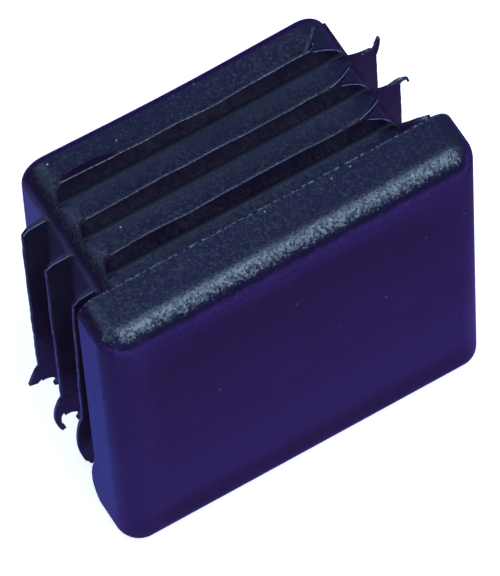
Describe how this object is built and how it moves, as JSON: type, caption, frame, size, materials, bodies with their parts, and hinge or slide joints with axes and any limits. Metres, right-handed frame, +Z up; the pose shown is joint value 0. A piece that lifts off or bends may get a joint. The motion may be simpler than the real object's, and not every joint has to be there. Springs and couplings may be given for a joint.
{
  "type": "tube end cap",
  "caption": "Square ribbed end cap that closes a square tube: rounded head plate, hollow plug and thin flexible fins on all sides, moulded in one piece.",
  "frame": {"origin": "middle of the head's flat outer face", "axes": "+Y into the tube, along the plug; +Z up, from one pair of finned sides to the other; +X across the head"},
  "size_m": [0.0305, 0.018, 0.0309],
  "materials": {
    "plastic": "dark indigo polyethylene, fine sparked grain on the head's sides and edge, satin on the face"
  },
  "bodies": {
    "root": {"end_cap": "plastic"}
  },
  "joints": []
}
